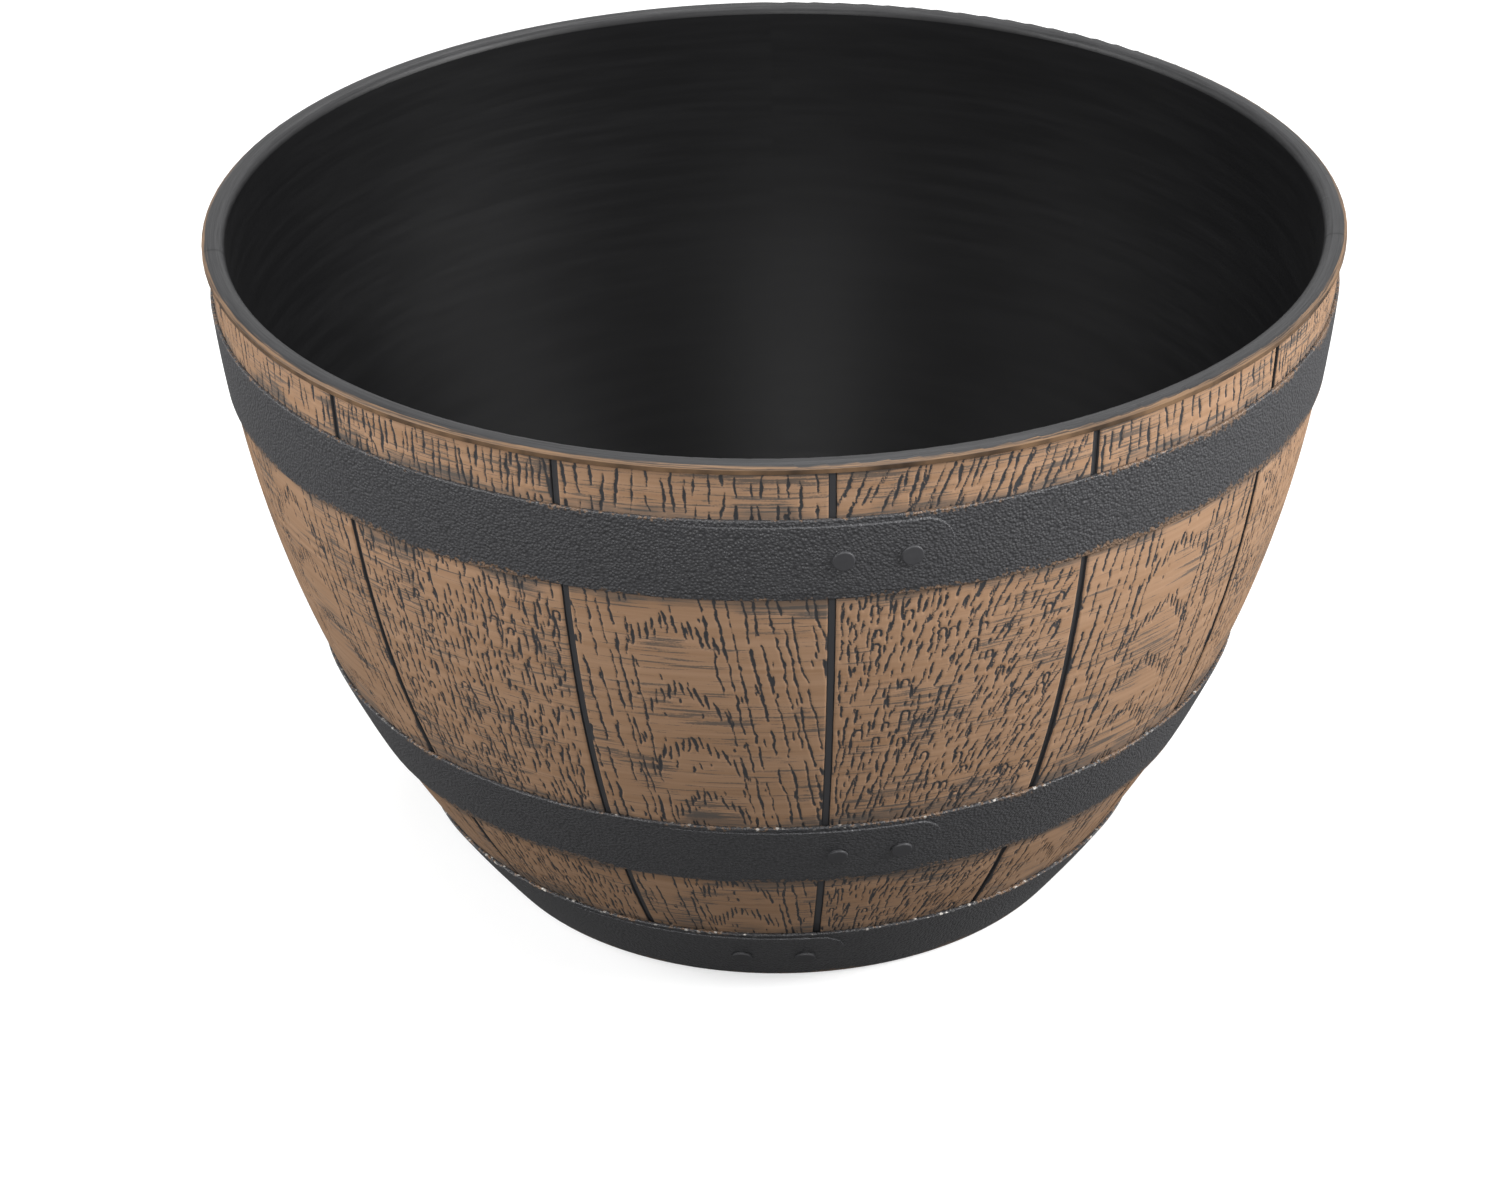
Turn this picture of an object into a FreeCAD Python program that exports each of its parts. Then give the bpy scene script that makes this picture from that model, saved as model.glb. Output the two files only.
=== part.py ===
"""Half-barrel planter: a black resin tub dressed with staves, three riveted hoops and a drain plug.

Millimetres, +Z up. The origin is on the floor, on the planter's axis, and -Y is the front, where the
hoops' riveted laps are. Every wall follows one cubic curve, nearly upright at the rim and leaning in more
and more towards the foot.
"""

import FreeCAD
import Part

import math
import os

# Overall form
rim_diameter = 394.0
height = 247.2
foot_diameter = 214.5
wall_curve_shares = (0.1425, 0.547, 0.3105)

# Staves
stave_count = 14
stave_thickness = 2.4
groove_width = 2.4
groove_depth = 1.2
stave_edge_round = 0.6
first_joint_azimuth = 5.0

# Tub
tub_wall = 3.6
tub_floor = 5.0
floor_corner_round = 10.0
foot_recess = 6.0
foot_ring_width = 11.0
foot_ring_round = 1.0
lip_height = 2.9
lip_overhang = 1.5
lip_round = 4.0
lip_round_drop = 1.4
mouth_round = 3.0
ledge_height = 2.6
rib_root = 1.0

# Hoops: each is a strip whose outer end laps over its inner end and is riveted there
hoop_thickness = 1.2
hoop_edge_round = 0.4
upper_hoop_below_rim = 19.8
upper_hoop_width = 29.9
lower_hoop_base = 66.5
lower_hoop_width = 30.0
foot_hoop_base = 1.5
foot_hoop_width = 30.4
lap_length = 92.0
lap_start_rise = 0.15
lap_end_rise = 0.6
lap_margin = 2.4
lap_corner_round_share = 0.8
upper_lap_end_azimuth = 16.1
lower_lap_end_azimuth = 19.0
foot_lap_end_azimuth = 9.5

# Rivets
rivets_per_lap = 2
rivet_head_diameter = 7.2
rivet_head_height = 0.9
rivet_head_round = 0.5
rivet_shank_diameter = 4.0
rivet_pitch = 21.5
rivet_from_lap_end = 12.6

# Drain and its plug
drain_diameter = 20.0
drain_seat_diameter = 35.0
drain_seat_depth = 2.2
plug_flange_diameter = 34.0
plug_flange_height = 2.6
plug_flange_round = 1.2
plug_stem_length = 5.0
plug_stem_taper = 1.2
plug_tab_width = 13.0
plug_tab_height = 9.0
plug_tab_thickness = 3.2
plug_tab_round = 1.2

# Clearances
seat_gap = 0.1
rib_clearance = 0.15
rivet_clearance = 0.1
plug_clearance = 0.25
overrun = 5.0

# Worked out from the sizes above
rim_radius = rim_diameter / 2
wall_top_radius = rim_radius - lip_overhang
foot_radius = foot_diameter / 2
lean_in = (wall_top_radius - foot_radius) / height
straight_share, square_share, cube_share = wall_curve_shares
rim_slope = math.atan(lean_in * straight_share)
foot_slope = math.atan(lean_in * (straight_share + 2 * square_share + 3 * cube_share))
upper_hoop_top = height - upper_hoop_below_rim
lip_reach = math.sqrt(lip_round**2 - (lip_round - lip_round_drop) ** 2)
stave_pitch = 360.0 / stave_count
stave_low = ledge_height + seat_gap
stave_high = height - lip_height - seat_gap
tub_inset = stave_thickness + seat_gap
bore_inset = tub_inset + tub_wall
floor_level = foot_recess + tub_floor
lap_mean_rise = (lap_start_rise + lap_end_rise) / 2
lap_swing = (lap_end_rise - lap_start_rise) / 2

AXIS = FreeCAD.Vector(0, 0, 1)
ORIGIN = FreeCAD.Vector(0, 0, 0)

# Name of the hoop: its lowest height, its highest height and where its lap ends
HOOPS = {
    "upper_hoop": (upper_hoop_top - upper_hoop_width, upper_hoop_top, upper_lap_end_azimuth),
    "lower_hoop": (lower_hoop_base, lower_hoop_base + lower_hoop_width, lower_lap_end_azimuth),
    "foot_hoop": (foot_hoop_base, foot_hoop_base + foot_hoop_width, foot_lap_end_azimuth),
}


def wall_ends(inset):
    """Radii, at the rim's height and at the floor, of the wall line inset behind the staves' face."""
    return wall_top_radius - inset / math.cos(rim_slope), foot_radius - inset / math.cos(foot_slope)


def wall_radius(z, inset):
    top, foot = wall_ends(inset)
    down = (height - z) / height
    return top - (top - foot) * (straight_share * down + square_share * down**2 + cube_share * down**3)


def wall_lean(z, inset):
    """How fast the radius grows with height."""
    top, foot = wall_ends(inset)
    down = (height - z) / height
    return (top - foot) / height * (straight_share + 2 * square_share * down + 3 * cube_share * down**2)


def wall_point(z, inset):
    return FreeCAD.Vector(wall_radius(z, inset), 0, z)


def wall_edge(z_from, z_to, inset):
    """The stretch of a wall line between two heights: a cubic, so four poles give it exactly."""
    third = (z_to - z_from) / 3
    from_pole = wall_radius(z_from, inset) + wall_lean(z_from, inset) * third
    to_pole = wall_radius(z_to, inset) - wall_lean(z_to, inset) * third
    curve = Part.BezierCurve()
    curve.setPoles(
        [
            wall_point(z_from, inset),
            FreeCAD.Vector(from_pole, 0, z_from + third),
            FreeCAD.Vector(to_pole, 0, z_to - third),
            wall_point(z_to, inset),
        ]
    )
    return curve.toShape()


def line(start, end):
    return Part.LineSegment(start, end).toShape()


def corner_arc(start, end, centre):
    """A round from start to end about its centre, the short way."""
    radius = (start - centre).Length
    outward = (start - centre) + (end - centre)
    middle = centre + outward * (radius / outward.Length)
    return Part.Arc(start, middle, end).toShape()


def turned(edges, degrees=360.0):
    """The solid that a closed outline in the XZ plane sweeps about the Z axis, starting at +X."""
    face = Part.Face(Part.Wire(Part.__sortEdges__(edges)))
    return face.revolve(ORIGIN, AXIS, degrees)


def band(z_low, z_high, inner_inset, outer_inset, degrees=360.0):
    """A ring, or a sector of one, between two wall lines and two heights."""
    edges = [
        wall_edge(z_low, z_high, inner_inset),
        line(wall_point(z_high, inner_inset), wall_point(z_high, outer_inset)),
        wall_edge(z_high, z_low, outer_inset),
        line(wall_point(z_low, outer_inset), wall_point(z_low, inner_inset)),
    ]
    return turned(edges, degrees)


def turn(shape, azimuth):
    """A copy turned from +X to an azimuth, counted from the front towards +X."""
    copy = shape.copy()
    copy.rotate(ORIGIN, AXIS, azimuth - 90.0)
    return copy


def meridian_slab(width):
    """A slab of the given width on the half plane through +X, taller and wider than the planter."""
    corner = FreeCAD.Vector(0, -width / 2, -overrun)
    return Part.makeBox(rim_diameter, width, height + 2 * overrun, corner)


def circle_edges(shape, radius, z):
    """The full circles about the Z axis with that radius and height."""
    tolerance = seat_gap / 2
    found = []
    for edge in shape.Edges:
        curve = edge.Curve
        if not isinstance(curve, Part.Circle) or not edge.isClosed():
            continue
        if abs(curve.Radius - radius) < tolerance and abs(curve.Center.z - z) < tolerance:
            found.append(edge)
    return found


def tub_outline():
    """Half section of the tub: foot ring, stave ledge, wall, rim lip, inside and floor."""
    point = FreeCAD.Vector
    ledge_radius = wall_radius(ledge_height, groove_depth)
    ring_radius = ledge_radius - foot_ring_width
    lip_base = height - lip_height
    lip_flat_radius = rim_radius - lip_reach

    ring_foot = point(ring_radius, 0, 0)
    ledge_foot = point(ledge_radius, 0, 0)
    ledge_top = point(ledge_radius, 0, ledge_height)
    wall_foot = wall_point(ledge_height, tub_inset)
    wall_head = wall_point(lip_base, tub_inset)
    lip_under = point(rim_radius, 0, lip_base)
    lip_side = point(rim_radius, 0, height - lip_round_drop)
    lip_top = point(lip_flat_radius, 0, height)
    mouth = wall_point(height, bore_inset)
    floor_edge = wall_point(floor_level, bore_inset)
    floor_centre = point(0, 0, floor_level)
    recess_centre = point(0, 0, foot_recess)
    recess_edge = point(ring_radius, 0, foot_recess)
    return [
        line(ring_foot, ledge_foot),
        line(ledge_foot, ledge_top),
        line(ledge_top, wall_foot),
        wall_edge(ledge_height, lip_base, tub_inset),
        line(wall_head, lip_under),
        line(lip_under, lip_side),
        corner_arc(lip_side, lip_top, point(lip_flat_radius, 0, height - lip_round)),
        line(lip_top, mouth),
        wall_edge(height, floor_level, bore_inset),
        line(floor_edge, floor_centre),
        line(floor_centre, recess_centre),
        line(recess_centre, recess_edge),
        line(recess_edge, ring_foot),
    ]


def stave_rib():
    """The upright rib on the tub's wall that keeps two staves apart; its face is the groove's bottom."""
    ring = band(
        ledge_height - rib_root,
        height - lip_height + rib_root,
        tub_inset + rib_root,
        groove_depth,
        stave_pitch,
    )
    ring.rotate(ORIGIN, AXIS, -stave_pitch / 2)
    return ring.common(meridian_slab(groove_width - 2 * rib_clearance))


def make_tub():
    tub = turned(tub_outline())
    mouth_edge = circle_edges(tub, wall_radius(height, bore_inset), height)
    tub = tub.makeFillet(mouth_round, mouth_edge)
    inside_corner = circle_edges(tub, wall_radius(floor_level, bore_inset), floor_level)
    tub = tub.makeFillet(floor_corner_round, inside_corner)
    ring_radius = wall_radius(ledge_height, groove_depth) - foot_ring_width
    foot_edge = circle_edges(tub, ring_radius, 0)
    tub = tub.makeFillet(foot_ring_round, foot_edge)

    drain = Part.makeCylinder(drain_diameter / 2, floor_level + overrun, ORIGIN, AXIS)
    seat_base = FreeCAD.Vector(0, 0, floor_level - drain_seat_depth)
    seat = Part.makeCylinder(drain_seat_diameter / 2, drain_seat_depth + overrun, seat_base, AXIS)
    tub = tub.cut(drain.fuse(seat))

    rib = stave_rib()
    ribs = [turn(rib, first_joint_azimuth + index * stave_pitch) for index in range(stave_count)]
    return tub.fuse(ribs).removeSplitter()


def make_stave():
    """One stave, between the joint planes at +X and one pitch on from it, with its face's edges eased."""
    stave = band(stave_low, stave_high, stave_thickness, 0, stave_pitch)
    near_gap = meridian_slab(groove_width)
    far_gap = near_gap.copy()
    far_gap.rotate(ORIGIN, AXIS, stave_pitch)
    stave = stave.cut([near_gap, far_gap])
    face_edges = []
    for edge in stave.Edges:
        middle = edge.valueAt((edge.FirstParameter + edge.LastParameter) / 2)
        is_upright = edge.BoundBox.ZLength > stave_thickness
        if is_upright and math.hypot(middle.x, middle.y) > wall_radius(middle.z, stave_thickness / 2):
            face_edges.append(edge)
    return stave.makeFillet(stave_edge_round, face_edges)


def lap_span(z_low, z_high):
    """The angle, in degrees, that the lap's length takes up at the hoop's middle height."""
    return math.degrees(lap_length / wall_radius((z_low + z_high) / 2, 0))


def lap_rise(z_low, z_high, azimuth, lap_end):
    """How far the lap stands off the hoop: little where it starts, most at its free end."""
    span = lap_span(z_low, z_high)
    half = math.radians(span / 2)
    from_middle = math.radians(azimuth - (lap_end - span / 2))
    return lap_mean_rise + lap_swing * math.sin(from_middle) / math.sin(half)


def lap_outline(z_low, z_high):
    """The lap seen square on: level edges and a free end, at Y zero, with rounded corners."""
    point = FreeCAD.Vector
    low = z_low + lap_margin
    high = z_high - lap_margin
    corner = lap_corner_round_share * (high - low) / 2
    low_start = point(0, -rim_diameter, low)
    low_end = point(0, -corner, low)
    end_low = point(0, 0, low + corner)
    end_high = point(0, 0, high - corner)
    high_end = point(0, -corner, high)
    high_start = point(0, -rim_diameter, high)
    return [
        line(low_start, low_end),
        corner_arc(low_end, end_low, point(0, -corner, low + corner)),
        line(end_low, end_high),
        corner_arc(end_high, high_end, point(0, -corner, high - corner)),
        line(high_end, high_start),
        line(high_start, low_start),
    ]


def make_lap(z_low, z_high, lap_end):
    """The hoop's outer end: a tongue that lifts off the hoop along its length, to a rounded free end."""
    span = lap_span(z_low, z_high)
    past_end = math.degrees(overrun / wall_radius(z_low, 0))
    root_inset = -(seat_gap + hoop_thickness / 2)
    face_inset = -(seat_gap + hoop_thickness + lap_mean_rise)
    tongue = band(z_low, z_high, root_inset, face_inset, span + past_end)
    tongue.rotate(ORIGIN, AXIS, -span)
    outline = Part.Face(Part.Wire(lap_outline(z_low, z_high)))
    tongue = tongue.common(outline.extrude(FreeCAD.Vector(rim_diameter, 0, 0)))
    tongue = turn(tongue, lap_end)
    shift = lap_swing / math.sin(math.radians(span / 2))
    towards = math.radians(lap_end - span / 2 + 90.0)
    tongue.translate(FreeCAD.Vector(shift * math.sin(towards), -shift * math.cos(towards), 0))
    return tongue


def rivet_placements(z_low, z_high, lap_end):
    """Where the two rivets of a lap sit: on its face, square to it, with their rise over the hoop."""
    middle = (z_low + z_high) / 2
    radius = wall_radius(middle, 0)
    lean = math.atan(wall_lean(middle, 0))
    found = []
    for index in range(rivets_per_lap):
        back = rivet_from_lap_end + index * rivet_pitch
        azimuth = lap_end - math.degrees(back / radius)
        rise = lap_rise(z_low, z_high, azimuth, lap_end)
        outward = FreeCAD.Vector(math.sin(math.radians(azimuth)), -math.cos(math.radians(azimuth)), 0)
        normal = outward * math.cos(lean) - AXIS * math.sin(lean)
        on_hoop = outward * wall_radius(middle, -(seat_gap + hoop_thickness)) + AXIS * middle
        seat = on_hoop + normal * rise
        found.append((FreeCAD.Placement(seat, FreeCAD.Rotation(AXIS, normal)), rise))
    return found


def make_hoop(z_low, z_high, lap_end):
    hoop = band(z_low, z_high, -seat_gap, -(seat_gap + hoop_thickness))
    outer_inset = -(seat_gap + hoop_thickness)
    edges = circle_edges(hoop, wall_radius(z_low, outer_inset), z_low)
    edges += circle_edges(hoop, wall_radius(z_high, outer_inset), z_high)
    hoop = hoop.makeFillet(hoop_edge_round, edges)
    hoop = hoop.fuse(make_lap(z_low, z_high, lap_end))
    for placement, rise in rivet_placements(z_low, z_high, lap_end):
        depth = hoop_thickness + rise + overrun
        hole_radius = rivet_shank_diameter / 2 + rivet_clearance
        hole = Part.makeCylinder(hole_radius, depth + overrun, FreeCAD.Vector(0, 0, -depth), AXIS)
        hole.Placement = placement.multiply(hole.Placement)
        hoop = hoop.cut(hole)
    return hoop


def make_rivets(z_low, z_high, lap_end):
    """The two rivets of a lap: a low round head outside, a shank through both ends of the strip."""
    rivets = []
    for placement, rise in rivet_placements(z_low, z_high, lap_end):
        head_base = FreeCAD.Vector(0, 0, seat_gap / 2)
        head = Part.makeCylinder(rivet_head_diameter / 2, rivet_head_height, head_base, AXIS)
        rim = circle_edges(head, rivet_head_diameter / 2, head_base.z + rivet_head_height)
        head = head.makeFillet(rivet_head_round, rim)
        shank_length = hoop_thickness + rise - seat_gap
        shank_base = FreeCAD.Vector(0, 0, -shank_length)
        shank = Part.makeCylinder(rivet_shank_diameter / 2, shank_length + head_base.z, shank_base, AXIS)
        rivet = head.fuse(shank).removeSplitter()
        rivet.Placement = placement
        rivets.append(rivet)
    return Part.makeCompound(rivets)


def make_drain_plug():
    """A rubber plug: a flange in the floor's seat, a tapered stem in the hole and a tab to pull."""
    seat_level = floor_level - drain_seat_depth
    flange_base = FreeCAD.Vector(0, 0, seat_level)
    flange = Part.makeCylinder(plug_flange_diameter / 2, plug_flange_height, flange_base, AXIS)
    flange_top = seat_level + plug_flange_height
    rim = circle_edges(flange, plug_flange_diameter / 2, flange_top)
    flange = flange.makeFillet(plug_flange_round, rim)

    stem_radius = drain_diameter / 2 - plug_clearance
    stem_base = FreeCAD.Vector(0, 0, seat_level - plug_stem_length)
    stem = Part.makeCone(stem_radius - plug_stem_taper, stem_radius, plug_stem_length, stem_base, AXIS)

    tab_corner = FreeCAD.Vector(-plug_tab_width / 2, -plug_tab_thickness / 2, flange_top - plug_flange_round)
    tab = Part.makeBox(plug_tab_width, plug_tab_thickness, plug_tab_height + plug_flange_round, tab_corner)
    tab_top = flange_top + plug_tab_height
    upper = [edge for edge in tab.Edges if edge.BoundBox.ZMin > tab_top - plug_tab_round]
    tab = tab.makeFillet(plug_tab_round, upper)
    return flange.fuse([stem, tab]).removeSplitter()


def save(name, shape):
    shape.exportStep(os.path.join("parts", name + ".step"))


def main():
    os.makedirs("parts", exist_ok=True)
    save("tub", make_tub())
    stave = make_stave()
    for index in range(stave_count):
        save(f"stave_{index + 1:02d}", turn(stave, first_joint_azimuth + index * stave_pitch))
    for name, sizes in HOOPS.items():
        save(name, make_hoop(*sizes))
        save(name + "_rivets", make_rivets(*sizes))
    save("drain_plug", make_drain_plug())


main()
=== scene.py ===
"""Looks of the half-barrel planter: wood grain cut into each stave, paint, moulded hoops, studio light.

Metres, in the part's own frame: +Z up, the origin on the floor under the planter's axis, -Y the front.
The grain is worked out in millimetres on each stave's face, in two directions: across it and down it.
"""

import math

import bpy
import numpy as np
from mathutils import Matrix, Vector


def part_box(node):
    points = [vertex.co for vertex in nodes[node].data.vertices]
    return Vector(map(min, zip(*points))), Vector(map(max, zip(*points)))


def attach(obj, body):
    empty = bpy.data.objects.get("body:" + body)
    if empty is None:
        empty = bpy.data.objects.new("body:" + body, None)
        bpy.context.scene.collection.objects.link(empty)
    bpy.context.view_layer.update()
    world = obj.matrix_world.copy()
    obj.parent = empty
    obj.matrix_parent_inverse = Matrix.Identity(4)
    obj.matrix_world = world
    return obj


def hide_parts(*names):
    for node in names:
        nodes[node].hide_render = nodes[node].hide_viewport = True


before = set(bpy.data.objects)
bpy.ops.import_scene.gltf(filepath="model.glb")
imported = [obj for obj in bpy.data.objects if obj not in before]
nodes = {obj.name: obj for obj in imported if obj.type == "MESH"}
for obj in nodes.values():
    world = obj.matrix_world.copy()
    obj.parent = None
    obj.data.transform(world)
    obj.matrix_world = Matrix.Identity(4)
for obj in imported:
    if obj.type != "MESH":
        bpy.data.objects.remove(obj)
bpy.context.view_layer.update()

MM = 0.001

# The barrel, from the frame where it gives the size
rim_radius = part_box("tub")[1].x
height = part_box("tub")[1].z
stave_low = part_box("stave_01")[0].z
stave_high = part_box("stave_01")[1].z
wall_top_radius = 195.5 * MM
foot_radius = 107.25 * MM
straight_share, square_share, cube_share = 0.1425, 0.547, 0.3105
lip_height = 3.0 * MM
stave_thickness = 2.4 * MM
groove_width = 2.4 * MM
edge_round = 0.6 * MM
stave_count = 14
stave_pitch = 2 * math.pi / stave_count
first_joint = math.radians(5.0)
HOOPS = ("upper_hoop", "lower_hoop", "foot_hoop")

# The grained mesh, sizes in millimetres. A cut starts just outside its stroke and is full depth inside it
column_step = 0.4
row_step = 0.8
back_points = 9
cut_depth = 0.45
cut_starts = 0.15
cut_is_full = -0.3
stroke_margin = 1.6
far_from_grain = 3.0
far_from_hoop = 10.0

# Grain strokes, in millimetres or as shares of a size. A pair is a range: the least and the most
strip_height = 20.0
point_step = 1.1
jitter = 0.1
fewest_dash_points = 3
dash_wander = 0.13
dash_ends = 0.1, 0.9
dash_end_width = 0.4
dash_width_change = 0.6, 1.4
fewest_crack_points = 4
crack_run = 10, 32
crack_wander = 0.17
crack_drift = 0.35
crack_half_width = 0.26, 0.46
crack_width_change = 0.5, 1.5
crack_end_width = 0.5
crack_short_break = 0.5, 1.5
crack_long_break = 2, 7
loop_points = 7
loop_size = 2.0, 3.0
loop_half_span = 0.45
loop_rise = 0.5
loop_leg = 0.6, 1.4
loop_lean = 0.1
loop_half_width = 0.36
loop_width_change = 0.8, 1.3

# Pored staves. A pore's length is drawn by the mean and the spread of its logarithm, within a range
pore_left_margin, pore_right_margin = 1.4, 1.0
pore_spacing = 2.2
pore_start = -2, 4
pore_log_length = 1.45, 0.45
pore_length = 1.6, 12
pore_drift = 0.6
pore_share = 0.82
pore_fan = 0.8
pore_tilt = 0.07
pore_half_width = 0.3, 0.52
pore_gap = 1.4, 4.4
many_loops, few_loops = 0.05, 0.02

# Figured staves: long cracks beside the heart, arches in it, and flecks
heart_share = 0.32, 0.38
heart_shift = -0.2, 0.1
side_crack_start = -6, 12
side_crack_spacing = 3.2, 4.8
side_crack_fan = 0.05
first_arch = 0, 8
arch_spacing = 22, 29
arch_reach = 1.0, 1.3
arch_fall = 9, 14
arch_curve = 1.4
arch_dash_start = 0.4, 1.4
arch_dash_length = 4.0, 6.5
arch_dash_growth = 3
arch_dash_drift = 0.8
arch_dash_tilt = 0.12
arch_dash_spacing = 1.9, 2.8
arch_half_width = 0.36, 0.58
flecks_per_mm = 0.8
fleck_length = 1.2, 4.0
fleck_half_width = 0.28, 0.5

# The strip above the upper hoop
strip_margin = 1.0
strip_cut_start = -2, 4
strip_cut_length = 5, 18
strip_cut_gap = 0.8, 4
strip_cut_tilt = 0.06
strip_cut_half_width = 0.3, 0.55
strip_spacing_change = 0.7, 1.4
pored_strip_spacing = 2.1
pored_strip_lean = 1.2
figured_strip_spacing = 3.3

# How far the strokes lean across for each millimetre down, on the pored staves and on the figured ones
pored_leans = (-0.26, 0.0, 0.1, -0.1, 0.18, -0.2, 0.0)
figured_leans = (-0.1, 0.06, 0.0, -0.08, 0.05, 0.02, 0.11)
first_seed = 40

# Stave paint, in millimetres on the stave's face, but the bristle marks' height in metres
crumbs_per_mm = 1.6
crumb_reach = 0.3
streaks_per_mm = 0.05, 1.3
patches_per_mm = 0.045
tones_per_streak = 0.35
strip_fade_below, strip_fade_above = 1.0, 3.0
between_staves = 100.0
brush_reach = 4.0
wash_reach = 5.0
bristle_height = 0.15 * MM

# Tub, hoop, rivet and plug finishes, in metres where the name doesn't say millimetres
lip_mark_length, lip_mark_width = 30 * MM, 0.5 * MM
lip_mark_reach = 1.4 * MM
lip_paint_width = 1.1 * MM
lip_paint_edge = 0.3 * MM
scuff_length, scuff_height = 60 * MM, 4 * MM
level_edge = 0.2 * MM
rim_edge = 0.5 * MM
parting_azimuth = math.radians(81.0)
parting_line, parting_fade = 0.3 * MM, 0.9 * MM
pebble_size = 0.95 * MM
pebble_height = 0.5 * MM
moulded_round = 0.6 * MM
hoop_half_width_mm = 15.0
overspray_patch = 25 * MM
overspray_crumb = 1.4 * MM
overspray_reach_mm = -1.2, 2.0
overspray_ragged_mm = 1.8
overspray_lower_mm = 0.7
overspray_right_mm = 1.6
right_starts, right_is_full = 40 * MM, 160 * MM
pale_dot_spacing = 2.4 * MM
pale_dot_stretch = 30 * MM
pale_dot_fade = 5 * MM
rivet_scuff = 2 * MM
plug_bloom = 6 * MM

# The camera, from the rim and hoop edges in the photograph
photo_width = 1500
focal_pixels = 4100.0
sensor_width = 36.0
camera_back = 1305.0 * MM
camera_above_rim = 573.4 * MM
camera_pitch = 0.5091
camera_yaw = -0.008058
camera_roll = -0.018005

# The studio. Each softbox has its place, its size and its power in watts
floor_size = 6.0
glow_near, glow_far = 0.5, 2.4
floor_mirrored = 0.14
world_mirrored = 0.76
world_scattered = 0.16
SOFTBOXES = {
    "overhead_softbox": ((0.0, -0.1, 1.7), 1.2, 17),
    "right_softbox": ((1.6, -0.35, 1.0), 0.9, 52),
    "left_softbox": ((-1.55, -0.2, 1.05), 0.9, 28),
    "front_softbox": ((-0.2, -1.7, 1.05), 0.8, 21),
    "back_softbox": ((0.4, 1.5, 2.3), 0.9, 16),
}

# A Mix node's colour sockets, by number because it has others of the same names
SHARE, FROM, TO = 0, 6, 7
IN_COLOUR = {"out": 2, "data_type": "RGBA"}


def linear(hex_colour):
    """An sRGB hex colour as linear RGBA."""
    channels = [int(hex_colour[i : i + 2], 16) / 255 for i in (1, 3, 5)]
    return [c / 12.92 if c <= 0.04045 else ((c + 0.055) / 1.055) ** 2.4 for c in channels] + [1.0]


def add(tree, kind, feeds=None, out=0, **settings):
    """Adds one shader node with its settings, feeds its inputs with sockets or values, gives an output."""
    node = tree.nodes.new("ShaderNode" + kind)
    for name, value in settings.items():
        setattr(node, name, value)
    for key, feed in (feeds or {}).items():
        if isinstance(feed, bpy.types.NodeSocket):
            tree.links.new(feed, node.inputs[key])
        else:
            node.inputs[key].default_value = feed
    return node.outputs[out] if node.outputs else None


def new_material(name):
    """A material with no nodes yet, and its node tree."""
    material = bpy.data.materials.new(name)
    material.use_nodes = True
    tree = material.node_tree
    tree.nodes.clear()
    return material, tree


def finish_material(tree, feeds):
    """A principled surface with these inputs, on the material's output."""
    surface = add(tree, "BsdfPrincipled", feeds)
    add(tree, "OutputMaterial", {"Surface": surface})


# Grain strokes: each is a list of points (across, down) and the half width at each point


def dash(rng, across, down, length, lean, half_width):
    """A short cut that wanders a little and thins to its ends."""
    count = max(fewest_dash_points, int(length / point_step) + 1)
    along = np.linspace(0, 1, count)
    wander = np.cumsum(rng.normal(0, dash_wander, count)) + rng.normal(0, jitter, count)
    points = np.column_stack(
        [
            across + lean * (along - 0.5) * length + wander - wander.mean(),
            down + (along - 0.5) * length,
        ]
    )
    swell = np.sin(np.pi * np.clip(along, *dash_ends))
    widths = half_width * (dash_end_width + (1 - dash_end_width) * swell)
    return points, widths * rng.uniform(*dash_width_change, count)


def loop(rng, across, down, size):
    """A small closed-top loop, as where a pore runs round a knot. Its legs lean a little to the left."""
    turn = np.linspace(0, np.pi, loop_points)
    points = np.column_stack(
        [across - loop_half_span * size * np.cos(turn), down - loop_rise * size * np.sin(turn)]
    )
    legs = rng.uniform(*loop_leg, 2) * size
    left = [[points[0, 0] - loop_lean * size, down + legs[0]]]
    right = [[points[-1, 0] - loop_lean * size, down + legs[1]]]
    points = np.vstack([left, points, right])
    return points, np.full(len(points), loop_half_width) * rng.uniform(*loop_width_change, len(points))


def crack(rng, across, top, bottom, lean):
    """A long wavy crack down the stave, across being its place half way: thick and thin, with breaks."""
    strokes = []
    down = top
    while down < bottom:
        end = min(down + rng.uniform(*crack_run), bottom)
        count = max(fewest_crack_points, int((end - down) / point_step))
        along = np.linspace(down, end, count)
        wander = np.cumsum(rng.normal(0, crack_wander, count)) + rng.normal(0, jitter, count)
        wander -= np.linspace(0, wander[-1], count)
        points = np.column_stack([across + lean * (along - bottom / 2) + wander, along])
        widths = rng.uniform(*crack_half_width) * rng.uniform(*crack_width_change, count)
        widths[[0, -1]] *= crack_end_width
        strokes.append((points, widths))
        across += rng.normal(0, crack_drift)
        down = end + rng.choice([rng.uniform(*crack_short_break), rng.uniform(*crack_long_break)])
    return strokes


def pored_grain(rng, half_width, length, lean, loops):
    """Short pores all over the face, in rough columns, with this share of loops."""
    strokes = []
    for across in np.arange(-half_width + pore_left_margin, half_width - pore_right_margin, pore_spacing):
        down = strip_height + rng.uniform(*pore_start)
        while down < length:
            size = float(np.clip(rng.lognormal(*pore_log_length), *pore_length))
            place = across + rng.normal(0, pore_drift)
            if rng.random() < loops:
                strokes.append(loop(rng, place, down, rng.uniform(*loop_size)))
            elif rng.random() < pore_share:
                tilt = lean * (1 + pore_fan * across / half_width) + rng.normal(0, pore_tilt)
                strokes.append(dash(rng, place, down, size, tilt, rng.uniform(*pore_half_width)))
            down += size / 2 + rng.uniform(*pore_gap)
    return strokes


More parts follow.
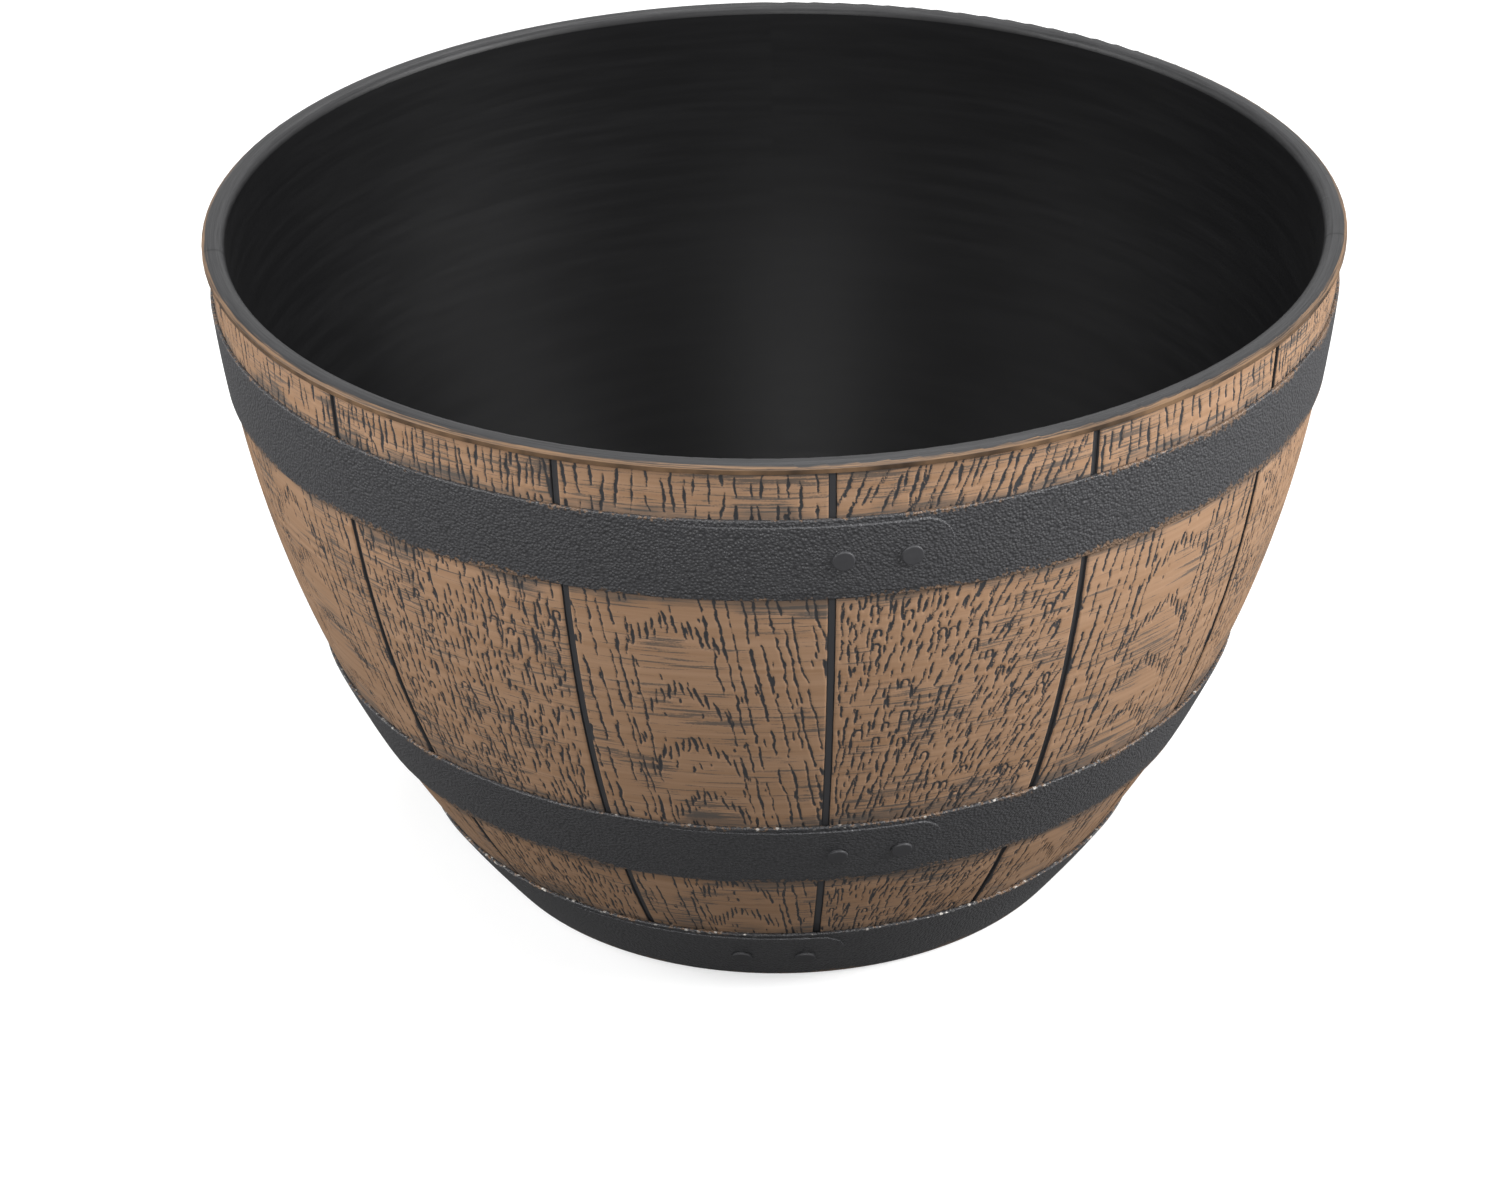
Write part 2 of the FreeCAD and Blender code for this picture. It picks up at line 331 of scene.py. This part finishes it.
def side_cracks(rng, half_width, length, lean, heart, middle):
    """Long cracks at both sides of the stave's heart, fanning out a little."""
    strokes = []
    for side in (-1, 1):
        place = heart
        while place < half_width + abs(lean) * length / 2 - side * middle:
            fan = lean + side * side_crack_fan * place / half_width
            top = strip_height + rng.uniform(*side_crack_start)
            strokes += crack(rng, middle + side * place, top, length, fan)
            place += rng.uniform(*side_crack_spacing)
    return strokes


def arches(rng, length, lean, heart, middle):
    """Arches of dashes, stacked down the stave's heart."""
    strokes = []
    peak = strip_height + rng.uniform(*first_arch)
    while peak < length:
        reach = rng.uniform(*arch_reach) * heart
        fall = rng.uniform(*arch_fall)
        for side in (-1, 1):
            offset = rng.uniform(*arch_dash_start)
            while offset < reach:
                share = offset / reach
                size = rng.uniform(*arch_dash_length) + arch_dash_growth * share
                down = peak + fall * share**arch_curve + size / 2 + rng.normal(0, arch_dash_drift)
                across = middle + side * offset + lean * (down - length / 2)
                tilt = lean + side * arch_dash_tilt
                strokes.append(dash(rng, across, down, size, tilt, rng.uniform(*arch_half_width)))
                offset += rng.uniform(*arch_dash_spacing)
        peak += rng.uniform(*arch_spacing)
    return strokes


def figured_grain(rng, half_width, length, lean):
    """Cracks at both sides, arches in the middle and flecks, as in a plank cut through its heart."""
    heart = rng.uniform(*heart_share) * half_width
    middle = rng.uniform(*heart_shift) * half_width
    strokes = side_cracks(rng, half_width, length, lean, heart, middle)
    strokes += arches(rng, length, lean, heart, middle)
    for _ in range(int(length * flecks_per_mm)):
        across = rng.uniform(-half_width, half_width)
        down = rng.uniform(strip_height, length)
        size = rng.uniform(*fleck_length)
        strokes.append(dash(rng, across, down, size, lean, rng.uniform(*fleck_half_width)))
    return strokes


def close_grain(rng, half_width, spacing, lean):
    """Near upright cuts in the strip above the upper hoop."""
    strokes = []
    across = -half_width + strip_margin
    while across < half_width:
        down = rng.uniform(*strip_cut_start)
        while down < strip_height:
            size = rng.uniform(*strip_cut_length)
            tilt = lean + rng.normal(0, strip_cut_tilt)
            cut_half = rng.uniform(*strip_cut_half_width)
            strokes.append(dash(rng, across, down + size / 2, size, tilt, cut_half))
            down += size + rng.uniform(*strip_cut_gap)
        across += rng.uniform(*strip_spacing_change) * spacing
    return strokes


def stave_strokes(index, half_width, length):
    """The grain of one stave: pores on the first and every second one after, figure on the others."""
    rng = np.random.default_rng(first_seed + index)
    if index % 2 == 0:
        lean = pored_leans[index // 2]
        loops = many_loops if index % 4 == 0 else few_loops
        strokes = close_grain(rng, half_width, pored_strip_spacing, pored_strip_lean * lean)
        return strokes + pored_grain(rng, half_width, length, lean, loops)
    strokes = close_grain(rng, half_width, figured_strip_spacing, 0.0)
    return strokes + figured_grain(rng, half_width, length, figured_leans[index // 2])


def distance_to_strokes(across, down, strokes):
    """Signed distance, in millimetres, from each point of a grid to the nearest stroke's edge."""
    field = np.full((len(down), len(across)), far_from_grain)
    for points, widths in strokes:
        for k in range(len(points) - 1):
            start, end = points[k], points[k + 1]
            run = end - start
            reach = max(widths[k], widths[k + 1]) + stroke_margin
            first_column, last_column = np.searchsorted(
                across, [min(start[0], end[0]) - reach, max(start[0], end[0]) + reach]
            )
            first_row, last_row = np.searchsorted(
                down, [min(start[1], end[1]) - reach, max(start[1], end[1]) + reach]
            )
            a = across[None, first_column:last_column] - start[0]
            d = down[first_row:last_row, None] - start[1]
            share = np.clip((a * run[0] + d * run[1]) / (run @ run), 0, 1)
            width = widths[k] + share * (widths[k + 1] - widths[k])
            gap = np.hypot(a - share * run[0], d - share * run[1]) - width
            window = field[first_row:last_row, first_column:last_column]
            np.minimum(window, gap, out=window)
    return field


# Staves


def wall_radius(z):
    """The radius of the staves' face at a height."""
    down = (height - z) / height
    lean_in = straight_share * down + square_share * down**2 + cube_share * down**3
    return wall_top_radius - (wall_top_radius - foot_radius) * lean_in


def wall_lean(z):
    """How fast that radius grows with height."""
    down = (height - z) / height
    steepness = straight_share + 2 * square_share * down + 3 * cube_share * down**2
    return (wall_top_radius - foot_radius) / height * steepness


def smooth(value, low, high):
    """A soft step from 0 at low to 1 at high."""
    share = np.clip((value - low) / (high - low), 0, 1)
    return share * share * (3 - 2 * share)


def stave_rings(radius, depth):
    """Each ring's angles from the stave's middle and its depths under the face.

    A ring runs along the face, round one edge, along the back and round the other edge.
    """
    rows, columns = depth.shape
    side_angle = stave_pitch / 2 - np.arcsin(groove_width / 2 / radius)
    face_angle = side_angle - edge_round / radius
    bevel = edge_round * (1 - math.sqrt(0.5))
    edge_angles = np.column_stack([side_angle - bevel / radius, side_angle])
    edge_depths = np.tile([bevel, edge_round], (rows, 1))
    angles = [
        face_angle[:, None] * np.linspace(-1, 1, columns),
        edge_angles,
        side_angle[:, None] * np.linspace(1, -1, back_points),
        -edge_angles[:, ::-1],
    ]
    depths = [depth, edge_depths, np.full((rows, back_points), stave_thickness), edge_depths[:, ::-1]]
    return np.hstack(angles), np.hstack(depths)


def stave_points(index, z, radius, angle, inward):
    """The rings' points, each moved in square to the face by its depth."""
    lean = wall_lean(z)
    normal_r = 1 / np.sqrt(1 + lean**2)
    normal_z = -lean * normal_r
    azimuth = first_joint + (index + 0.5) * stave_pitch + angle
    r = radius[:, None] - inward * normal_r[:, None]
    level = np.clip(z[:, None] - inward * normal_z[:, None], stave_low, stave_high)
    return np.stack([r * np.sin(azimuth), -r * np.cos(azimuth), level], axis=-1)


def ring_mesh(name, points):
    """A smooth closed mesh through rings of points, capped at the first and the last ring."""
    rows, ring = points.shape[:2]
    corner = np.arange(rows * ring).reshape(rows, ring)
    beside = np.roll(corner, -1, axis=1)
    quads = np.stack([corner[:-1], corner[1:], beside[1:], beside[:-1]], axis=-1).reshape(-1, 4)
    faces = quads.tolist() + [corner[0].tolist(), corner[-1][::-1].tolist()]
    mesh = bpy.data.meshes.new(name)
    mesh.from_pydata(points.reshape(-1, 3).tolist(), [], faces)
    mesh.polygons.foreach_set("use_smooth", np.ones(len(faces), bool))
    return mesh


def gap_to_hoops(z):
    """How far each height is from the nearest hoop's edge, in millimetres, below zero behind a hoop."""
    gap = np.full(len(z), far_from_hoop)
    for hoop in HOOPS:
        low, high = (corner.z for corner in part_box(hoop))
        gap = np.minimum(gap, np.maximum(low - z, z - high) / MM)
    return gap


def make_stave(index, paint):
    """One stave with its grain cut into its face, in the place of the plain one."""
    name = f"stave_{index + 1:02d}"
    rows = int((stave_high - stave_low) / (row_step * MM))
    z = np.linspace(stave_high, stave_low, rows)
    radius = wall_radius(z)
    down = np.concatenate([[0], np.cumsum(np.hypot(np.diff(radius), np.diff(z)))]) / MM
    middle_radius = radius[rows // 2]
    face_half = middle_radius * stave_pitch / 2 - groove_width / 2 - edge_round
    columns = int(2 * face_half / (column_step * MM))
    across = np.linspace(-face_half, face_half, columns) / MM
    grain = distance_to_strokes(across, down, stave_strokes(index, face_half / MM, down[-1]))

    angle, inward = stave_rings(radius, cut_depth * MM * smooth(grain, cut_starts, cut_is_full))
    mesh = ring_mesh(name + "_grain", stave_points(index, z, radius, angle, inward))

    # What the paint follows. The sides and the back count as inside a cut, so they stay bare
    grain_all = np.full(angle.shape, -1.0)
    grain_all[:, :columns] = grain
    grain_all[:, columns] = grain[:, -1]
    grain_all[:, -1] = grain[:, 0]
    fields = {
        "grain": grain_all,
        "across": angle * middle_radius / MM,
        "down": np.broadcast_to(down[:, None], angle.shape),
        "hoop_gap": np.broadcast_to(gap_to_hoops(z)[:, None], angle.shape),
    }
    for field_name, values in fields.items():
        attribute = mesh.attributes.new(field_name, "FLOAT", "POINT")
        attribute.data.foreach_set("value", values.astype(np.float32).ravel())
    mesh.materials.append(paint)
    mesh.update()

    stave = bpy.data.objects.new(name + "_grained", mesh)
    bpy.context.scene.collection.objects.link(stave)
    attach(stave, "planter")
    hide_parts(name)


# Finishes


def make_painted_stave():
    """Black resin, moulded with wood grain, brown paint dry-brushed over its high face.

    The brush skips the cuts, so the grain shows dark, and runs dry in level streaks, which show grey.
    """
    material, tree = new_material("dry_brushed_resin")
    grain, across, down, hoop_gap = (
        add(tree, "Attribute", out="Fac", attribute_name=field)
        for field in ("grain", "across", "down", "hoop_gap")
    )
    each_stave = add(tree, "ObjectInfo", out="Random")
    apart = add(tree, "Math", {0: each_stave, 1: between_staves}, operation="MULTIPLY")
    place = add(tree, "CombineXYZ", {"X": across, "Y": down, "Z": apart})

    # Ragged edge of the paint round each cut: crumbs about 0.6 mm across
    speck = add(tree, "TexNoise", {"Vector": place, "Scale": crumbs_per_mm, "Detail": 2.0})
    crumb = add(tree, "MapRange", {"Value": speck, "To Min": -crumb_reach, "To Max": crumb_reach})
    ragged = add(tree, "Math", {0: grain, 1: crumb}, operation="ADD")
    covered = add(tree, "MapRange", {"Value": ragged, "From Min": -0.1, "From Max": 0.12})

    # Level streaks where the brush ran dry: 20 mm long and 0.8 mm deep, in patches of about 22 mm
    drawn = add(tree, "VectorMath", {0: place, 1: (*streaks_per_mm, 1.0)}, operation="MULTIPLY")
    streak = add(tree, "TexNoise", {"Vector": drawn, "Scale": 1.0, "Detail": 3.0, "Roughness": 0.6})
    patch = add(tree, "TexNoise", {"Vector": place, "Scale": patches_per_mm, "Detail": 2.0})
    dryness = add(
        tree,
        "MapRange",
        {"Value": patch, "From Min": 0.36, "From Max": 0.66, "To Min": -0.13, "To Max": 0.04},
    )
    broken = add(tree, "MapRange", {"Value": speck, "To Min": -0.09, "To Max": 0.09})

    # The strip above the upper hoop is drier
    in_strip = add(
        tree,
        "MapRange",
        {
            "Value": down,
            "From Min": strip_height + strip_fade_below,
            "From Max": strip_height - strip_fade_above,
            "To Max": 0.05,
        },
    )
    dry = streak
    for more in (dryness, in_strip, broken):
        dry = add(tree, "Math", {0: dry, 1: more}, operation="ADD")
    bare = add(tree, "MapRange", {"Value": dry, "From Min": 0.52, "From Max": 0.61, "To Max": 0.8})

    # The brush misses the last millimetres beside a hoop
    reach = add(tree, "MapRange", {"Value": streak, "From Min": 0.3, "From Max": 0.7, "To Max": brush_reach})
    wash = add(tree, "MapRange", {"Value": patch, "From Min": 0.4, "From Max": 0.65, "To Max": wash_reach})
    reach = add(tree, "Math", {0: reach, 1: wash}, operation="ADD")
    beside = add(tree, "Math", {0: hoop_gap, 1: reach}, operation="SUBTRACT")
    beside = add(tree, "MapRange", {"Value": beside, "From Min": -3.0, "From Max": 1.0, "To Min": 0.4})

    kept = add(tree, "Math", {0: 1.0, 1: bare}, operation="SUBTRACT")
    kept = add(tree, "Math", {0: kept, 1: beside}, operation="MULTIPLY")
    paint = add(tree, "Math", {0: covered, 1: kept}, operation="MULTIPLY")

    tone = add(tree, "TexNoise", {"Vector": drawn, "Scale": tones_per_streak, "Detail": 3.0})
    tone = add(tree, "MapRange", {"Value": tone, "From Min": 0.3, "From Max": 0.7})
    brown = add(tree, "Mix", {SHARE: tone, FROM: linear("#9B795C"), TO: linear("#AC8A6E")}, **IN_COLOUR)
    streaked = add(tree, "Mix", {SHARE: kept, FROM: linear("#514E4B"), TO: brown}, **IN_COLOUR)
    colour = add(tree, "Mix", {SHARE: covered, FROM: linear("#363638"), TO: streaked}, **IN_COLOUR)
    roughness = add(tree, "MapRange", {"Value": paint, "To Min": 0.48, "To Max": 0.62})
    bristle = add(tree, "Bump", {"Strength": 0.25, "Distance": bristle_height, "Height": streak})
    finish_material(
        tree,
        {"Base Color": colour, "Roughness": roughness, "Specular IOR Level": 0.5, "Normal": bristle},
    )
    return material


def make_tub_resin():
    """Black resin, moulded in a polished mould: satin, with painted sheen on the rim and in the grooves, and
    the brush's last brown along the lip, painted darker as shade.
    """
    material, tree = new_material("moulded_black_resin")
    place = add(tree, "TexCoord", out="Object")
    x, y, z = (add(tree, "SeparateXYZ", {0: place}, axis) for axis in "XYZ")
    square = add(tree, "Math", {0: x, 1: x}, operation="MULTIPLY")
    square = add(tree, "Math", {0: y, 1: y, 2: square}, operation="MULTIPLY_ADD")
    radius = add(tree, "Math", {0: square}, operation="SQRT")
    front = add(tree, "Math", {0: y, 1: -1.0}, operation="MULTIPLY")
    azimuth = add(tree, "Math", {0: x, 1: front}, operation="ARCTAN2")
    lip_base = height - lip_height

    # Brush marks run round the lip
    round_lip = add(tree, "Math", {0: azimuth, 1: rim_radius / lip_mark_length}, operation="MULTIPLY")
    out_lip = add(tree, "Math", {0: radius, 1: 1 / lip_mark_width}, operation="MULTIPLY")
    along = add(tree, "CombineXYZ", {"X": round_lip, "Y": out_lip})
    mark = add(tree, "TexNoise", {"Vector": along, "Scale": 1.0, "Detail": 3.0, "Roughness": 0.6})

    # The lip's outer edge is brown, worn through between the marks, and painted darker than the staves'
    # brown: painted shade on the upward lip
    reach = add(tree, "MapRange", {"Value": mark, "To Min": -lip_mark_reach, "To Max": lip_mark_reach})
    from_axis = add(tree, "Math", {0: radius, 1: reach}, operation="ADD")
    paint_start = rim_radius - lip_paint_width
    painted = add(
        tree,
        "MapRange",
        {
            "Value": from_axis,
            "From Min": paint_start - lip_paint_edge,
            "From Max": paint_start + lip_paint_edge,
        },
    )
    on_lip = add(tree, "MapRange", {"Value": z, "From Min": lip_base, "From Max": lip_base + level_edge})
    worn = add(
        tree,
        "MapRange",
        {"Value": mark, "From Min": 0.38, "From Max": 0.6, "To Min": 0.18, "To Max": 0.85},
    )
    for share in (on_lip, worn):
        painted = add(tree, "Math", {0: painted, 1: share}, operation="MULTIPLY")

    # Level scuffs inside
    round_wall = add(tree, "Math", {0: azimuth, 1: rim_radius / scuff_length}, operation="MULTIPLY")
    up_wall = add(tree, "Math", {0: z, 1: 1 / scuff_height}, operation="MULTIPLY")
    level = add(tree, "CombineXYZ", {"X": round_wall, "Y": up_wall})
    smudge = add(tree, "TexNoise", {"Vector": level, "Scale": 1.0, "Detail": 5.0, "Roughness": 0.6})
    chalk = add(tree, "MapRange", {"Value": smudge, "From Min": 0.4, "From Max": 0.75})
    black = add(tree, "Mix", {SHARE: chalk, FROM: linear("#0A0A0B"), TO: linear("#0E0E0F")}, **IN_COLOUR)

    # The rim is painted a lighter grey than the wall: a painted sheen on its top, scuffed in streaks along
    # the marks, with the mould's dark parting line across it
    scuffed = add(tree, "MapRange", {"Value": mark, "From Min": 0.3, "From Max": 0.7})
    grey = add(tree, "Mix", {SHARE: scuffed, FROM: linear("#1C1C1D"), TO: linear("#343435")}, **IN_COLOUR)
    rim_sheen_mask = add(tree, "MapRange", {"Value": z, "From Min": lip_base, "From Max": height - rim_edge})
    parting = rim_radius * math.cos(parting_azimuth)
    sideways = add(tree, "Math", {0: y, 1: parting}, operation="ADD")
    sideways = add(tree, "Math", {0: sideways}, operation="ABSOLUTE")
    parted = add(
        tree,
        "MapRange",
        {"Value": sideways, "From Min": parting_line, "From Max": parting_fade, "To Min": 0.25},
    )
    rim_sheen_mask = add(tree, "Math", {0: rim_sheen_mask, 1: parted}, operation="MULTIPLY")
    black = add(tree, "Mix", {SHARE: rim_sheen_mask, FROM: black, TO: grey}, **IN_COLOUR)

    # The wall that shows in the grooves between the staves is painted a lighter grey where it faces out: a
    # painted sheen
    normal = add(tree, "NewGeometry", out="Normal")
    facing_out = add(tree, "VectorMath", {0: normal, 1: place}, out="Value", operation="DOT_PRODUCT")
    facing_out = add(
        tree,
        "MapRange",
        {"Value": facing_out, "From Min": 0.25 * rim_radius, "From Max": 0.5 * rim_radius},
    )
    groove_sheen = add(tree, "MapRange", {"Value": z, "From Min": lip_base, "From Max": lip_base - level_edge})
    groove_sheen = add(tree, "Math", {0: groove_sheen, 1: facing_out}, operation="MULTIPLY")
    black = add(tree, "Mix", {SHARE: groove_sheen, FROM: black, TO: linear("#464648")}, **IN_COLOUR)

    # The lip's brown is the staves' paint made darker: painted shade
    colour = add(tree, "Mix", {SHARE: painted, FROM: black, TO: linear("#7A6048")}, **IN_COLOUR)
    roughness = add(tree, "MapRange", {"Value": chalk, "To Min": 0.42, "To Max": 0.48})
    finish_material(tree, {"Base Color": colour, "Roughness": roughness, "Specular IOR Level": 0.2})
    return material


def make_hoop_resin():
    """Charcoal resin from a spark-eroded mould: a satin pebble of about a millimetre, edges painted lighter
    as a highlight.

    The stave brush caught both edges, which shows as ragged brown. The two lower hoops have pale dots along
    their top edge.
    """
    material, tree = new_material("pebbled_charcoal_resin")
    place = add(tree, "TexCoord", out="Object")
    x = add(tree, "SeparateXYZ", {0: place}, "X")
    z = add(tree, "SeparateXYZ", {0: place}, "Z")
    up = add(tree, "SeparateXYZ", {0: add(tree, "TexCoord", out="Generated")}, "Z")
    pebble = add(
        tree,
        "TexVoronoi",
        {"Vector": place, "Scale": 1 / pebble_size, "Smoothness": 0.3},
        feature="SMOOTH_F1",
    )
    # The pebble's hollows are painted darker than its tops: painted shade
    charcoal = add(tree, "Mix", {SHARE: pebble, FROM: linear("#4B4B4D"), TO: linear("#2F2F31")}, **IN_COLOUR)

    # Every moulded edge is a little round; the lap's edge and the hoop's are painted a lighter grey as a
    # highlight
    rounded = add(tree, "Bevel", {"Radius": moulded_round}, samples=6)
    normal = add(tree, "NewGeometry", out="Normal")
    bend = add(tree, "VectorMath", {0: rounded, 1: normal}, out="Value", operation="DOT_PRODUCT")
    painted_edge_highlight = add(tree, "MapRange", {"Value": bend, "From Min": 0.96, "From Max": 0.85, "To Max": 0.34})
    colour = add(tree, "Mix", {SHARE: painted_edge_highlight, FROM: charcoal, TO: linear("#77777A")}, **IN_COLOUR)

    # Brown overspray, in millimetres from the nearer edge: ragged, and further in on the lower edge and right
    off_middle = add(tree, "Math", {0: up, 1: 0.5}, operation="SUBTRACT")
    off_middle = add(tree, "Math", {0: off_middle}, operation="ABSOLUTE")
    to_edge = add(
        tree,
        "MapRange",
        {"Value": off_middle, "From Max": 0.5, "To Min": hoop_half_width_mm, "To Max": 0.0},
    )
    patch = add(tree, "TexNoise", {"Vector": place, "Scale": 1 / overspray_patch, "Detail": 2.0})
    crumb = add(tree, "TexNoise", {"Vector": place, "Scale": 1 / overspray_crumb, "Detail": 2.0})
    least, most = overspray_reach_mm
    limit = add(
        tree,
        "MapRange",
        {"Value": patch, "From Min": 0.35, "From Max": 0.7, "To Min": least, "To Max": most},
    )
    ragged = add(
        tree,
        "MapRange",
        {
            "Value": crumb,
            "From Min": 0.3,
            "From Max": 0.7,
            "To Min": -overspray_ragged_mm,
            "To Max": overspray_ragged_mm,
        },
    )
    lower_edge = add(
        tree,
        "MapRange",
        {
            "Value": up,
            "From Min": 0.6,
            "From Max": 0.4,
            "To Min": -overspray_lower_mm,
            "To Max": overspray_lower_mm,
        },
    )
    on_right = add(
        tree,
        "MapRange",
        {"Value": x, "From Min": right_starts, "From Max": right_is_full, "To Max": overspray_right_mm},
    )
    for more in (ragged, lower_edge, on_right):
        limit = add(tree, "Math", {0: limit, 1: more}, operation="ADD")
    spray = add(tree, "Math", {0: limit, 1: to_edge}, operation="SUBTRACT")
    spray = add(tree, "MapRange", {"Value": spray, "From Max": 0.9, "To Max": 0.6})
    colour = add(tree, "Mix", {SHARE: spray, FROM: colour, TO: linear("#84684F")}, **IN_COLOUR)

    # Pale dots about a millimetre across, in stretches of the two lower hoops' top edge
    pale_dots = add(tree, "TexVoronoi", {"Vector": place, "Scale": 1 / pale_dot_spacing})
    pale_dots = add(tree, "MapRange", {"Value": pale_dots, "From Min": 0.32, "From Max": 0.2})
    stretch = add(tree, "TexNoise", {"Vector": place, "Scale": 1 / pale_dot_stretch})
    stretch = add(tree, "MapRange", {"Value": stretch, "From Min": 0.4, "From Max": 0.5})
    at_top = add(tree, "MapRange", {"Value": up, "From Min": 0.96, "From Max": 0.97})
    below = add(tree, "MapRange", {"Value": z, "From Min": height / 2 + pale_dot_fade, "From Max": height / 2})
    for share in (stretch, at_top, below):
        pale_dots = add(tree, "Math", {0: pale_dots, 1: share}, operation="MULTIPLY")
    colour = add(tree, "Mix", {SHARE: pale_dots, FROM: colour, TO: linear("#B4B0AA")}, **IN_COLOUR)

    bump = add(
        tree,
        "Bump",
        {"Strength": 1.0, "Distance": pebble_height, "Height": pebble, "Normal": rounded},
        invert=True,
    )
    finish_material(
        tree,
        {"Base Color": colour, "Roughness": 0.42, "Specular IOR Level": 0.4, "Normal": bump},
    )
    return material


def make_rivet_resin():
    """Charcoal resin from a turned mould: satin and smooth, a little scuffed."""
    material, tree = new_material("smooth_charcoal_resin")
    place = add(tree, "TexCoord", out="Object")
    scuff = add(tree, "TexNoise", {"Vector": place, "Scale": 1 / rivet_scuff, "Detail": 3.0})
    colour = add(tree, "Mix", {SHARE: scuff, FROM: linear("#38383A"), TO: linear("#424244")}, **IN_COLOUR)
    roughness = add(tree, "MapRange", {"Value": scuff, "To Min": 0.44, "To Max": 0.56})
    finish_material(tree, {"Base Color": colour, "Roughness": roughness, "Specular IOR Level": 0.3})
    return material


def make_plug_rubber():
    """Black rubber, moulded: dull, with a dusty bloom."""
    material, tree = new_material("moulded_black_rubber")
    place = add(tree, "TexCoord", out="Object")
    bloom = add(tree, "TexNoise", {"Vector": place, "Scale": 1 / plug_bloom, "Detail": 4.0})
    colour = add(tree, "Mix", {SHARE: bloom, FROM: linear("#151515"), TO: linear("#242424")}, **IN_COLOUR)
    finish_material(tree, {"Base Color": colour, "Roughness": 0.7})
    return material


def dress(names, material):
    """Gives these pieces of the frame one material."""
    for name in names:
        nodes[name].data.materials.clear()
        nodes[name].data.materials.append(material)


# Camera, light and floor


def make_camera():
    """The camera at the photograph's place, turned, pitched down and rolled."""
    data = bpy.data.cameras.new("camera")
    data.sensor_width = sensor_width
    data.lens = focal_pixels / photo_width * sensor_width
    camera = bpy.data.objects.new("camera", data)
    bpy.context.scene.collection.objects.link(camera)
    forward = Vector(
        (
            math.sin(camera_yaw) * math.cos(camera_pitch),
            math.cos(camera_yaw) * math.cos(camera_pitch),
            -math.sin(camera_pitch),
        )
    )
    level_right = Vector((math.cos(camera_yaw), -math.sin(camera_yaw), 0))
    level_up = level_right.cross(forward)
    right = math.cos(camera_roll) * level_right + math.sin(camera_roll) * level_up
    up = -math.sin(camera_roll) * level_right + math.cos(camera_roll) * level_up
    turn = Matrix((right, up, -forward)).transposed()
    place = Matrix.Translation((0, -camera_back, height + camera_above_rim))
    camera.matrix_world = place @ turn.to_4x4()
    bpy.context.scene.camera = camera


def add_softbox(name, place, size, power):
    """A square lamp that faces the planter's middle."""
    data = bpy.data.lights.new(name, "AREA")
    data.size = size
    data.energy = power
    lamp = bpy.data.objects.new(name, data)
    lamp.location = place
    towards = Vector((0, 0, height / 2)) - Vector(place)
    lamp.rotation_mode = "QUATERNION"
    lamp.rotation_quaternion = towards.to_track_quat("-Z", "Y")
    bpy.context.scene.collection.objects.link(lamp)


def seen_directly(tree, mirrored):
    """1 for rays from the camera or through glass, mirrored for reflections and 0 for scattered light."""
    camera_ray = add(tree, "LightPath", out="Is Camera Ray")
    glossy_ray = add(tree, "LightPath", out="Is Glossy Ray")
    through_ray = add(tree, "LightPath", out="Is Transmission Ray")
    straight = add(tree, "Math", {0: camera_ray, 1: through_ray}, operation="MAXIMUM")
    reflected = add(tree, "Math", {0: glossy_ray, 1: mirrored}, operation="MULTIPLY")
    return add(tree, "Math", {0: straight, 1: reflected}, operation="MAXIMUM")


def make_floor():
    """Matt paper: white to the eye, more so further out, with the planter's soft shadow."""
    half = floor_size / 2
    corners = [(-half, -half, 0), (half, -half, 0), (half, half, 0), (-half, half, 0)]
    mesh = bpy.data.meshes.new("floor")
    mesh.from_pydata(corners, [], [(0, 1, 2, 3)])
    floor = bpy.data.objects.new("floor", mesh)
    bpy.context.scene.collection.objects.link(floor)

    material, tree = new_material("matt_white_paper")
    scatter = add(tree, "BsdfDiffuse", {"Color": linear("#2E2E2E")})
    pale = add(tree, "BsdfDiffuse", {"Color": linear("#BCBCBC")})
    place = add(tree, "TexCoord", out="Object")
    from_middle = add(tree, "VectorMath", {0: place}, out="Value", operation="LENGTH")
    strength = add(
        tree,
        "MapRange",
        {"Value": from_middle, "From Min": glow_near, "From Max": glow_far, "To Min": 0.55, "To Max": 1.0},
    )
    glow = add(tree, "Emission", {"Strength": strength})
    white = add(tree, "AddShader", {0: pale, 1: glow})
    surface = add(tree, "MixShader", {0: seen_directly(tree, floor_mirrored), 1: scatter, 2: white})
    add(tree, "OutputMaterial", {"Surface": surface})
    mesh.materials.append(material)


def make_world():
    """A white studio: white to the eye, and a low, even light on the planter."""
    world = bpy.data.worlds.new("white_studio")
    bpy.context.scene.world = world
    world.use_nodes = True
    tree = world.node_tree
    tree.nodes.clear()
    seen = seen_directly(tree, world_mirrored)
    strength = add(tree, "MapRange", {"Value": seen, "To Min": world_scattered, "To Max": 1.0})
    backdrop = add(tree, "Background", {"Color": linear("#FFFFFF"), "Strength": strength})
    add(tree, "OutputWorld", {"Surface": backdrop})


painted_stave = make_painted_stave()
for stave_index in range(stave_count):
    make_stave(stave_index, painted_stave)
dress(["tub"], make_tub_resin())
dress(HOOPS, make_hoop_resin())
dress([hoop + "_rivets" for hoop in HOOPS], make_rivet_resin())
dress(["drain_plug"], make_plug_rubber())

make_camera()
make_floor()
make_world()
for softbox_name, (softbox_place, softbox_size, softbox_power) in SOFTBOXES.items():
    add_softbox(softbox_name, softbox_place, softbox_size, softbox_power)
bpy.context.scene.view_settings.view_transform = "Standard"
